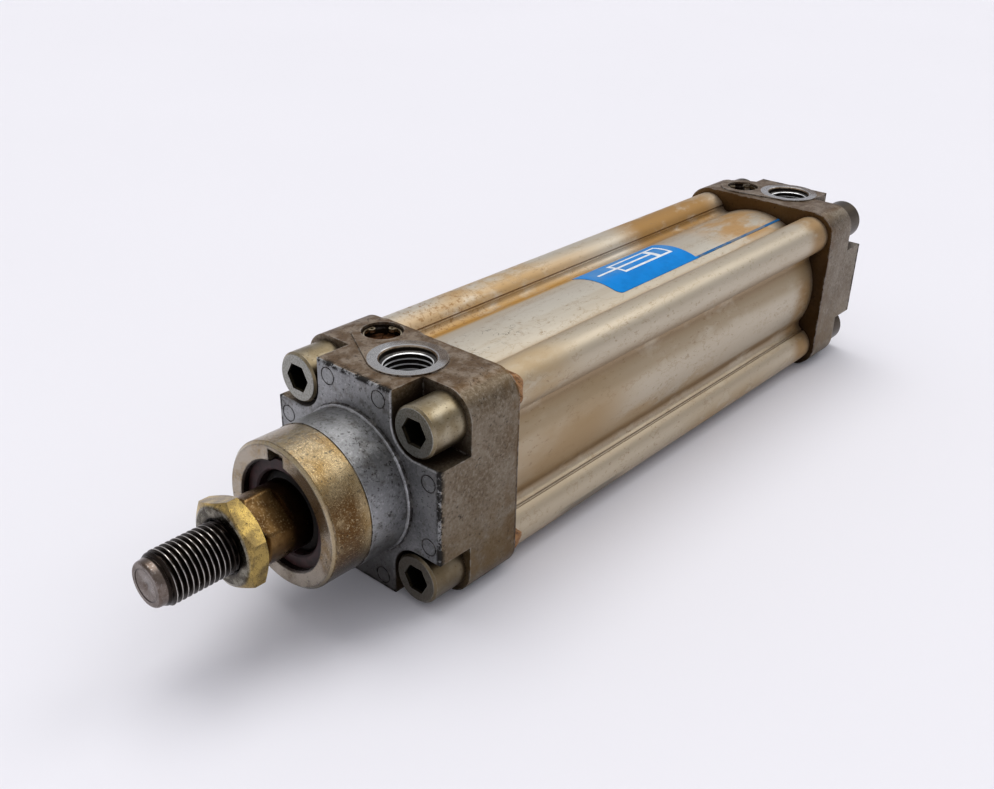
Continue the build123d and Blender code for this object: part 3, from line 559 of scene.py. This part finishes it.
def rod_material():
    """Oil-browned bar. The thread's crests are worn bright with a painted highlight, and its roots are
    black.
    """
    p = Paint("rod_oiled", metallic=1.0)
    cloud = p.noise(4, detail=5)
    fine = p.noise(0.4, detail=4, shift=2)
    polish = p.noise(0.12, detail=2, stretch=(1, 60, 60), shift=5)

    # brown oil outside the collar, wetter by the seal, and clean steel further in
    colour = p.mix(p.step(cloud, 0.35, 0.65), (0.165, 0.095, 0.035), (0.070, 0.036, 0.012))
    scratch = p.both(p.step(fine, 0.55, 0.66), p.step(p.z, 0.0, 4.0))
    colour = p.tint(colour, scratch, 0.8, (0.27, 0.19, 0.10))
    wet = p.step(p.x, flats_x + 1.2, flats_x - 0.6)
    colour = p.tint(colour, wet, 0.85, (0.030, 0.014, 0.005))
    clean = p.mix(p.step(cloud, 0.3, 0.7), (0.50, 0.48, 0.44), (0.38, 0.35, 0.30))
    colour = p.mix(p.step(p.math("ADD", p.x, p.both(cloud, 8.0)), 19.0, 13.0), colour, clean)

    # thread, worn bright with a painted highlight on its free crests
    radius = p.off_axis()
    on_thread = p.step(radius, thread_r + 0.3, thread_r + 0.1)
    on_thread = p.both(p.step(p.x, shoulder_x, shoulder_x + 0.4), on_thread)
    crest = p.step(radius, thread_r - 0.09, thread_r - 0.02)
    worn_and_highlit_crests = p.both(crest, p.step(p.x, nut_front_x + 0.5, nut_front_x + 4.0))
    screw = p.mix(worn_and_highlit_crests, (0.020, 0.015, 0.012), (0.50, 0.47, 0.44))
    colour = p.mix(on_thread, colour, screw)

    # bare tip with a turned ring on its end face
    tip_ring_r = 3.6
    tip = p.step(p.x, rod_tip_x - 1.9, rod_tip_x - 1.6)
    steel = p.mix(p.step(cloud, 0.35, 0.65), (0.200, 0.165, 0.145), (0.105, 0.078, 0.062))
    steel = p.tint(steel, p.step(fine, 0.55, 0.68), 0.6, (0.30, 0.27, 0.25))
    mark = p.between(radius, tip_ring_r - 0.15, tip_ring_r + 0.15, 0.08)
    mark = p.both(mark, p.step(p.x, rod_tip_x - 0.3, rod_tip_x - 0.2))
    steel = p.tint(steel, mark, 0.8, (0.035, 0.025, 0.020))
    colour = p.mix(tip, colour, steel)
    p.bump(p.blend(on_thread, polish, fine), 0.2, 0.02)
    return p.done(colour, p.blend(cloud, 0.22, 0.36))


def nut_material():
    """Yellow-passivated nut: speckled gold sides, dull front with grease round the thread."""
    p = Paint("nut_yellow_zinc", metallic=1.0)
    cloud = p.noise(3.5, detail=5)
    fine = p.noise(0.30, detail=5, rough=0.7, shift=2)
    colour = p.mix(p.step(cloud, 0.35, 0.62), (0.52, 0.365, 0.110), (0.22, 0.155, 0.060))
    front = p.step(p.x, nut_front_x - 0.5, nut_front_x - 0.1)
    smear = p.step(p.noise(1.8, detail=5, rough=0.7, shift=6), 0.40, 0.58)
    dull = p.mix(smear, (0.200, 0.190, 0.155), (0.035, 0.030, 0.023))
    dull = p.mix(p.step(p.off_axis(), 7.4, 6.4), dull, (0.012, 0.009, 0.007))
    colour = p.tint(colour, front, 0.95, dull)
    colour = p.tint(colour, p.step(fine, 0.55, 0.61), 0.9, (0.050, 0.028, 0.008))
    # painted shade on faces turned down
    low = p.step(p.normal_z(), 0.1, -0.8)
    colour = p.tint(colour, low, 0.6, (0.12, 0.085, 0.035))
    # grime and painted shade in corners
    dirt_and_shade = p.step(p.crevice(2.5), 0.85, 0.35)
    colour = p.tint(colour, dirt_and_shade, 0.9, (0.014, 0.009, 0.005))
    p.bump(fine, 0.3, 0.04)
    return p.done(colour, p.blend(cloud, 0.20, 0.32))


def port_thread_material():
    """Near-white crests, clean metal with a painted reflection, on a thread whose flanks are dark with
    oil.
    """
    p = Paint("port_thread_bright", metallic=0.5)
    fine = p.noise(0.6, detail=4)
    crest = p.step(p.nearest(port_places), port_minor_r + 0.30, port_minor_r + 0.14)
    # crests near white: clean metal and a painted reflection
    bright = p.mix(fine, (0.70, 0.705, 0.71), (0.92, 0.925, 0.93))
    colour = p.mix(crest, (0.030, 0.026, 0.022), bright)
    return p.done(colour, p.blend(fine, 0.16, 0.26))


def clip_material():
    """Spring clips: blackened ring with rubbed lugs."""
    lug_r = 4.6
    p = Paint("clip_steel", metallic=1.0)
    fine = p.noise(0.5, detail=4)
    lug = p.step(p.nearest(recess_places), lug_r + 0.15, lug_r - 0.15)
    ring = p.mix(p.step(fine, 0.5, 0.7), (0.045, 0.030, 0.018), (0.16, 0.115, 0.065))
    colour = p.mix(lug, ring, (0.52, 0.44, 0.30))
    return p.done(colour, p.blend(fine, 0.22, 0.35))


def plain_material(name, metallic, dark, light, rough, size=2.0, relief=0.03, specular=0.5):
    """Two-tone material with a little relief, for small and inner pieces."""
    p = Paint(name, metallic, specular)
    cloud = p.noise(size, detail=5)
    fine = p.noise(size / 6, detail=4, shift=2)
    colour = p.mix(p.step(cloud, 0.35, 0.65), dark, light)
    p.bump(fine, 0.25, relief)
    return p.done(colour, p.blend(cloud, rough[0], rough[1]))


def label_material():
    """Blue foil, vivid on its near half and greyer on the other half, where a painted reflection lies.
    """
    p = Paint("label_blue", metallic=0.0, specular=0.05)
    cloud = p.noise(4, detail=5)
    fine = p.noise(0.6, detail=4, shift=2)
    colour = p.mix(p.step(cloud, 0.35, 0.65), (0.0, 0.215, 0.64), (0.0, 0.190, 0.57))
    # a painted reflection greys the half on the -Y side
    far = p.both(p.step(p.y, 2.5, -2.5), p.step(p.noise(6, detail=4, shift=8), 0.30, 0.60))
    colour = p.tint(colour, far, 0.45, (0.13, 0.25, 0.38))
    stripe = p.step(p.x, label_rear_x - 0.2, label_rear_x - 1.2)
    colour = p.mix(stripe, colour, (0.020, 0.125, 0.310))
    worn = p.both(stripe, p.step(p.noise(5, detail=4, stretch=(2, 1, 1), shift=12), 0.52, 0.62))
    colour = p.tint(colour, worn, 0.6, (0.24, 0.22, 0.17))
    p.bump(fine, 0.1, 0.02)
    return p.done(colour, p.blend(cloud, 0.34, 0.46))


def crust_material():
    """Dried orange-brown sealant and rust, rough and dark in its hollows."""
    p = Paint("joint_crust", metallic=0.1)
    cloud = p.noise(1.6, detail=5, rough=0.7)
    fine = p.noise(0.4, detail=5, rough=0.7, shift=2)
    colour = p.mix(p.step(cloud, 0.38, 0.62), (0.340, 0.170, 0.062), (0.180, 0.080, 0.027))
    colour = p.mix(p.step(fine, 0.56, 0.66), colour, (0.060, 0.028, 0.012))
    p.bump(fine, 0.6, 0.15)
    return p.done(colour, p.blend(cloud, 0.55, 0.8))


def floor_material():
    """Pale, almost even floor."""
    p = Paint("floor_pale", metallic=0.0, specular=0.15)
    cloud = p.noise(220, detail=2)
    colour = p.mix(cloud, (0.790, 0.785, 0.830), (0.805, 0.800, 0.845))
    return p.done(colour, p.blend(cloud, 0.6, 0.7))


# ------------------------------------------------------------------ mesh building
def mesh_piece(name, points, faces, material, body):
    """A new piece from points in mm, riding on a body."""
    mesh = bpy.data.meshes.new(name)
    mesh.from_pydata([Vector(q) * MM for q in points], [], faces)
    mesh.validate()
    mesh.materials.append(material)
    mesh.shade_smooth()
    mesh.set_sharp_from_angle(angle=CREASE)
    piece = bpy.data.objects.new(name, mesh)
    bpy.context.scene.collection.objects.link(piece)
    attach(piece, body)
    return piece


def skin(rings):
    """Faces that join equal rings of points in order, with a face over each end."""
    count = len(rings[0])
    points = [q for ring in rings for q in ring]
    faces = []
    for i in range(len(rings) - 1):
        for j in range(count):
            k = (j + 1) % count
            faces.append((i * count + j, i * count + k, (i + 1) * count + k, (i + 1) * count + j))
    faces.append(tuple(range(count - 1, -1, -1)))
    faces.append(tuple((len(rings) - 1) * count + j for j in range(count)))
    return points, faces


def thread_depth(phase, crest, root):
    """Height of a thread above its root, from 0 to 1, at a phase of 0 to 1 pitch.

    The crest and the root are flat for those shares of the pitch.
    """
    slope = (1 - crest - root) / 2
    if phase < slope:
        return phase / slope
    if phase < slope + crest:
        return 1.0
    if phase < 2 * slope + crest:
        return 1 - (phase - slope - crest) / slope
    return 0.0


# the rod's chamfered shoulder, and its thinner rear end, where the piston sits
shoulder_chamfer = 0.6
rod_rear_r, rod_rear_chamfer = 5.0, 0.8


def rod_envelope(x):
    """Largest radius of the rod's front part: thread, slope, plain tip and rounded edge."""
    under_nut_r = thread_r - 0.2
    outline = (
        (nut_front_x + 0.5, under_nut_r), (nut_front_x + 0.6, thread_r),
        (rod_tip_x - 3.2, thread_r), (rod_tip_x - 1.7, 5.15),
        (rod_tip_x - 0.55, 5.05), (rod_tip_x - 0.2, 4.88), (rod_tip_x, 4.6),
    )
    if x < outline[0][0]:
        return outline[0][1]
    for (x0, r0), (x1, r1) in zip(outline, outline[1:]):
        if x <= x1:
            return r0 + (r1 - r0) * (x - x0) / (x1 - x0)
    return outline[-1][1]


def rod_radius(x, angle):
    """Radius of the piston rod's skin at a station and an angle from +Y towards +Z."""
    if x > shoulder_x:
        pitch, depth, undercut_r, undercut_len, run_out = 1.25, 0.767, 5.1, 1.2, 0.8
        phase = (x / pitch - angle / (2 * math.pi)) % 1.0
        radius = thread_r - depth * (1 - thread_depth(phase, 0.12, 0.16))
        fade = min(1.0, max(0.0, (x - shoulder_x - undercut_len) / run_out))
        radius = undercut_r + (radius - undercut_r) * fade
        return min(radius, rod_envelope(x))
    radius = rod_r - max(0.0, x - shoulder_x + shoulder_chamfer)
    if x < piston_front_x:
        full, chamfer = rod_rear_r, rod_rear_chamfer
        radius = full if x > rod_rear_x + chamfer else full - chamfer + (x - rod_rear_x)
    if flats_x < x:
        across_flats, turn = 13.0, math.radians(55)
        facing = abs(math.cos(angle - turn))
        if facing * radius > across_flats / 2:
            radius = across_flats / 2 / facing
    return radius


def rod_stations():
    """Stations along the rod: close together on the thread, in pairs at each step."""
    gap, thread_steps = 0.01, 200
    xs = [rod_rear_x, rod_rear_x + rod_rear_chamfer, piston_front_x - gap, piston_front_x + gap]
    xs += [-60.0, -20.0, 0.0, 20.0, flats_x - gap, flats_x + gap, 26.0, 28.5]
    chamfer_x = shoulder_x - shoulder_chamfer
    xs += [chamfer_x - 0.02, chamfer_x + shoulder_chamfer / 2, shoulder_x - gap, shoulder_x + gap]
    start = shoulder_x + 0.2
    xs += [start + (rod_tip_x - start) * i / thread_steps for i in range(thread_steps + 1)]
    return xs


def build_rod(material):
    """The whole piston rod with its real thread, in place of the plain one."""
    steps = 144
    angles = [2 * math.pi * i / steps for i in range(steps)]
    rings = []
    for x in rod_stations():
        rings.append([])
        for a in angles:
            r = rod_radius(x, a)
            rings[-1].append((x, r * math.cos(a), r * math.sin(a)))
    # the end face: a rim, then a shallow recess with a centre drilling
    for inset, r in ((0.0, 3.65), (0.12, 3.5), (0.12, 0.9), (0.5, 0.1)):
        rings.append([(rod_tip_x - inset, r * math.cos(a), r * math.sin(a)) for a in angles])
    points, faces = skin(rings)
    piece = mesh_piece("piston_rod_threaded", points, faces, material, "rod")
    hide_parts("piston_rod")
    return piece


def helix_ridge(name, centre, along, start, end, outer_r, inner_r, pitch, material):
    """A closed inward thread ridge round a line through centre, from start to end along it.

    It starts and ends flush with the wall and rises over a third of a turn.
    """
    turn_steps, embed, least_ease = 48, 0.05, 0.02
    along = Vector(along)
    side = Vector((0, 1, 0)) if abs(along.x) > 0.5 else Vector((1, 0, 0))
    up = along.cross(side)
    turns = abs(end - start) / pitch
    total = int(turns * turn_steps)
    way = 1 if end > start else -1
    half_base, half_crest = 0.40 * pitch, 0.05 * pitch
    rings = []
    for i in range(total + 1):
        turn = 2 * math.pi * i / turn_steps
        middle = start + way * pitch * i / turn_steps
        ease = min(1.0, i / (turn_steps / 3), (total - i) / (turn_steps / 3))
        crest_r = outer_r - (outer_r - inner_r) * max(ease, least_ease)
        out = side * math.cos(turn) + up * math.sin(turn)
        corners = (
            (middle - half_base, outer_r + embed),
            (middle - half_crest, crest_r),
            (middle + half_crest, crest_r),
            (middle + half_base, outer_r + embed),
        )
        rings.append([Vector(centre) + along * d + out * r for d, r in corners])
    points, faces = skin(rings)
    return mesh_piece(name, points, faces, material, "housing")


def build_port_threads(material):
    """G1/4 threads, from just below the pad's top down to a full thread's depth."""
    pitch, countersink, depth = 1.337, 1.05, 11.0
    for name in ("front_port", "rear_port"):
        x, y, _ = (c / MM for c in mounts[name]["pos_m"])
        helix_ridge(
            f"{name}_thread", (x, y, 0), (0, 0, 1), pad_top_z - countersink, pad_top_z - depth,
            port_r, port_minor_r, pitch, material,
        )


def build_head_threads(material):
    """M6 threads in the hollow screw heads, below the hexagon."""
    pitch, minor_r, top, bottom = 1.0, 2.5, 5.0, 11.5
    ends = (
        ("front", front_x - top, front_x - bottom),
        ("rear", rear_x + top, rear_x + bottom),
    )
    for end, start, stop in ends:
        for i, (sy, sz) in enumerate(((1, 1), (-1, 1), (-1, -1), (1, -1))):
            centre = (0, sy * screw_pitch_half, sz * screw_pitch_half)
            helix_ridge(
                f"{end}_head_thread_{i + 1}", centre, (1, 0, 0), start, stop,
                head_thread_r, minor_r, pitch, material,
            )


# ------------------------------------------------------------------ label artwork
def on_label(x, y, lift):
    """A point on the label's curved face."""
    r = label_top_z + lift
    return (x, y, math.sqrt(r * r - y * y))


def label_bar(name, x0, x1, y0, y1, material):
    """A thin raised rectangle printed on the curved label."""
    steps, lift, sink = 4, 0.03, 0.02
    ys = [y0 + (y1 - y0) * i / steps for i in range(steps + 1)]
    top = [on_label(x, y, lift) for y in ys for x in (x0, x1)]
    bottom = [on_label(x, y, -sink) for y in ys for x in (x0, x1)]
    count = len(top)
    points = top + bottom
    faces = []
    for i in range(steps):
        a, b, c, d = 2 * i, 2 * i + 1, 2 * i + 3, 2 * i + 2
        faces.append((a, b, c, d))
        faces.append((count + d, count + c, count + b, count + a))
        faces.append((a, d, count + d, count + a))
        faces.append((b, count + b, count + c, c))
    faces.append((0, count, count + 1, 1))
    last = 2 * steps
    faces.append((last, last + 1, count + last + 1, count + last))
    return mesh_piece(name, points, faces, material, "housing")


def build_label_symbol(material):
    """The drawing-standard symbol of a double-acting cylinder, in place of lettering."""
    rear, front = label_front_x - 36.0, label_front_x - 12.0
    rod_front = label_front_x - 3.5
    piston = rear + 5.0
    low, high, line = -5.8, 1.4, 0.9
    middle = (low + high) / 2
    bars = (
        ("side_far", rear, front, low, low + line),
        ("side_near", rear, front, high - line, high),
        ("end_rear", rear, rear + line, low + line, high - line),
        ("end_front", front - line, front, low + line, high - line),
        ("piston", piston, piston + 2 * line, low + line, high - line),
        ("rod", piston + 2 * line, rod_front, middle - line / 2, middle + line / 2),
    )
    for name, x0, x1, y0, y1 in bars:
        label_bar(f"label_symbol_{name}", x0, x1, y0, y1, material)


# ------------------------------------------------------------------ dried crust at the front joint
def build_crust(name, z_sign, turn_range, reach, height, seed, material):
    """A lumpy closed patch on a corner lobe, against the bearing cap's rear edge.

    It spans turn_range in degrees round the lobe, reaches up to reach mm along it and stands
    about height mm proud. Its underside is sunk a little into the lobe.
    """
    lobe_centre, lobe_r = screw_pitch_half, 6.05
    overlap, sink, under = 0.15, 0.03, 0.3
    across_steps, along_steps = 30, 14
    rows = []
    for i in range(across_steps + 1):
        u = i / across_steps
        turn = math.radians(turn_range[0] + (turn_range[1] - turn_range[0]) * u)
        ragged = 0.5 + 0.5 * noise.noise(Vector((u * 3, seed, 0.3)))
        length = reach * (0.35 + 0.65 * ragged) * math.sin(math.pi * (0.04 + 0.92 * u)) ** 0.5
        row = []
        for j in range(along_steps + 1):
            v = j / along_steps
            rim = min(1.0, 5 * (1 - v), 6 * u, 6 * (1 - u))
            lump = 0.55 + 0.9 * noise.noise(Vector((u * 9, v * 5, seed)))
            lift = -sink + height * max(0.15, lump) * rim * (1 - 0.55 * v)
            row.append((barrel_front_x + overlap - length * v, turn, lobe_r + lift))
        rows.append(row)
    points = []
    for top in (True, False):
        for row in rows:
            for x, turn, r in row:
                r = r if top else lobe_r - under
                y = lobe_centre + r * math.cos(turn)
                points.append((x, y, z_sign * lobe_centre + r * math.sin(turn)))
    wide, count = along_steps + 1, (across_steps + 1) * (along_steps + 1)
    faces = []
    for i in range(across_steps):
        for j in range(along_steps):
            a = i * wide + j
            faces.append((a, a + 1, a + wide + 1, a + wide))
            faces.append((count + a, count + a + wide, count + a + wide + 1, count + a + 1))
    border = list(range(wide))
    border += [i * wide + along_steps for i in range(1, across_steps + 1)]
    border += [across_steps * wide + j for j in range(along_steps - 1, -1, -1)]
    border += [i * wide for i in range(across_steps - 1, 0, -1)]
    for a, b in zip(border, border[1:] + border[:1]):
        faces.append((b, a, count + a, count + b))
    return mesh_piece(name, points, faces, material, "housing")


# ------------------------------------------------------------------ materials onto the CAD nodes
# Seals, O-rings and any node that the table leaves out are black rubber.
rubber = plain_material(
    "rubber_black", 0.0, (0.004, 0.003, 0.003), (0.010, 0.007, 0.005), (0.45, 0.6), specular=0.12
)
brown_ring = plain_material(
    "ring_brown", 0.0, (0.022, 0.008, 0.008), (0.046, 0.019, 0.019), (0.42, 0.55), specular=0.22
)
aluminium = plain_material("aluminium_turned", 1.0, (0.55, 0.55, 0.56), (0.70, 0.70, 0.71), (0.25, 0.35))
steel = plain_material("steel_turned", 1.0, (0.34, 0.33, 0.31), (0.52, 0.51, 0.49), (0.25, 0.38))
bronze = plain_material("bronze_sintered", 1.0, (0.34, 0.19, 0.07), (0.50, 0.31, 0.13), (0.35, 0.5))
guide = plain_material("guide_ivory", 0.0, (0.62, 0.58, 0.50), (0.74, 0.71, 0.64), (0.40, 0.5))
magnet = plain_material("magnet_dark", 0.0, (0.035, 0.035, 0.04), (0.07, 0.07, 0.075), (0.40, 0.55))
dirty_brass = plain_material(
    "brass_dirty", 1.0, (0.050, 0.020, 0.009), (0.190, 0.085, 0.035), (0.30, 0.5), size=1.2
)
white_ink = plain_material(
    "ink_white", 0.0, (0.62, 0.65, 0.68), (0.80, 0.82, 0.83), (0.35, 0.45), size=2.5, relief=0.01
)
crust = crust_material()
zinc = zinc_material()
rod_steel = rod_material()
clip_steel = clip_material()

of_node = {
    "bearing_cap": casting_material("bearing_cap_cast", front_x, bearing_cap_len, -1, True),
    "end_cap": casting_material("end_cap_cast", rear_x, end_cap_len, 1, False),
    "barrel": barrel_material(),
    "front_cap_screws": zinc,
    "rear_cap_screws": zinc,
    "rod_bearing_bush": bronze,
    "seal_retaining_ring": brown_ring,
    "name_label": label_material(),
    "piston_guide_ring": guide,
    "piston_rod": rod_steel,
    "rod_nut": nut_material(),
    "piston_nut": steel,
    "front_piston_half": aluminium,
    "rear_piston_half": aluminium,
    "front_cushion_sleeve": aluminium,
    "rear_cushion_sleeve": aluminium,
    "piston_magnet": magnet,
    "front_cushion_screw": dirty_brass,
    "rear_cushion_screw": dirty_brass,
    "front_cushion_clip": clip_steel,
    "rear_cushion_clip": clip_steel,
}
for node_name, piece in nodes.items():
    piece.data.materials.clear()
    piece.data.materials.append(of_node.get(node_name, rubber))
    piece.data.shade_smooth()
    piece.data.set_sharp_from_angle(angle=CREASE)

build_rod(rod_steel)
build_port_threads(port_thread_material())
build_head_threads(zinc)
build_label_symbol(white_ink)
build_crust("joint_crust_upper", 1, (-20, 84), 5.6, 0.90, 1.7, crust)
build_crust("joint_crust_lower", -1, (-50, 34), 6.0, 0.85, 5.3, crust)


# ------------------------------------------------------------------ floor, light and camera
def build_floor():
    """Pale round sheet in metres, flat under the part and curving up all round, far from it."""
    flat_r, bend_r, bend_steps, sectors = 2.3, 0.9, 10, 72
    profile = [(0.6, 0.0), (1.4, 0.0), (flat_r, 0.0)]
    for i in range(1, bend_steps + 1):
        a = math.pi / 2 * i / bend_steps
        profile.append((flat_r + bend_r * math.sin(a), bend_r * (1 - math.cos(a))))
    points = [(0, 0, floor_z)]
    for r, up in profile:
        for k in range(sectors):
            a = 2 * math.pi * k / sectors
            points.append((r * math.cos(a), r * math.sin(a), floor_z + up))
    faces = [(0, 1 + k, 1 + (k + 1) % sectors) for k in range(sectors)]
    for i in range(len(profile) - 1):
        for k in range(sectors):
            a, b = 1 + i * sectors + k, 1 + i * sectors + (k + 1) % sectors
            faces.append((a, a + sectors, b + sectors, b))
    mesh = bpy.data.meshes.new("floor")
    mesh.from_pydata(points, [], faces)
    mesh.shade_smooth()
    mesh.materials.append(floor_material())
    floor = bpy.data.objects.new("floor", mesh)
    bpy.context.scene.collection.objects.link(floor)


def aimed(name, light, place):
    """Puts a light at a place, turned to face the part's middle."""
    part_middle = Vector((-0.07, 0, 0))
    lamp = bpy.data.objects.new(name, light)
    lamp.location = place
    lamp.rotation_mode = "QUATERNION"
    lamp.rotation_quaternion = (part_middle - Vector(place)).to_track_quat("-Z", "Y")
    bpy.context.scene.collection.objects.link(lamp)


def build_light():
    """Two broad soft lights and a dome that is brighter overhead than at its edge."""
    # name, place in metres, strength, width in degrees and colour
    soft_lights = (
        ("key", (-0.20, -0.24, 0.87), 1.34, 46, (1.0, 0.985, 0.965)),
        ("back", (-0.70, 0.20, 0.70), 0.46, 30, (1.0, 0.99, 0.975)),
    )
    for name, place, strength, width, colour in soft_lights:
        light = bpy.data.lights.new(name, "SUN")
        light.energy = strength
        light.angle = math.radians(width)
        light.color = colour
        aimed(name, light, place)

    world = bpy.data.worlds.new("studio")
    bpy.context.scene.world = world
    world.use_nodes = True
    tree = world.node_tree
    split = tree.nodes.new("ShaderNodeSeparateXYZ")
    tree.links.new(tree.nodes.new("ShaderNodeTexCoord").outputs["Generated"], split.inputs[0])
    rise = tree.nodes.new("ShaderNodeMapRange")
    edge_strength, overhead_strength = 0.38, 0.73
    rise.inputs["To Min"].default_value = edge_strength
    rise.inputs["To Max"].default_value = overhead_strength
    tree.links.new(split.outputs["Z"], rise.inputs["Value"])
    background = tree.nodes["Background"]
    background.inputs["Color"].default_value = (0.965, 0.965, 1.0, 1.0)
    tree.links.new(rise.outputs["Result"], background.inputs["Strength"])


def build_camera():
    """Three-quarter view from in front, above and the +Y side, in metres."""
    place = Vector((0.13968, 0.16125, 0.13085))
    aim = Vector((-0.67599, -0.57780, -0.45737)).normalized()
    roll = math.radians(1.447)
    level_right = aim.cross(Vector((0, 0, 1))).normalized()
    level_up = level_right.cross(aim)
    right = level_right * math.cos(roll) + level_up * math.sin(roll)
    up = right.cross(aim)
    data = bpy.data.cameras.new("camera")
    data.sensor_width = 36.0
    data.lens = 39.08
    data.clip_start, data.clip_end = 0.01, 20.0
    camera = bpy.data.objects.new("camera", data)
    turn = Matrix((right, up, -aim)).transposed()
    camera.matrix_world = Matrix.Translation(place) @ turn.to_4x4()
    bpy.context.scene.collection.objects.link(camera)
    bpy.context.scene.camera = camera


build_floor()
build_light()
build_camera()
bpy.context.scene.view_settings.view_transform = "Standard"
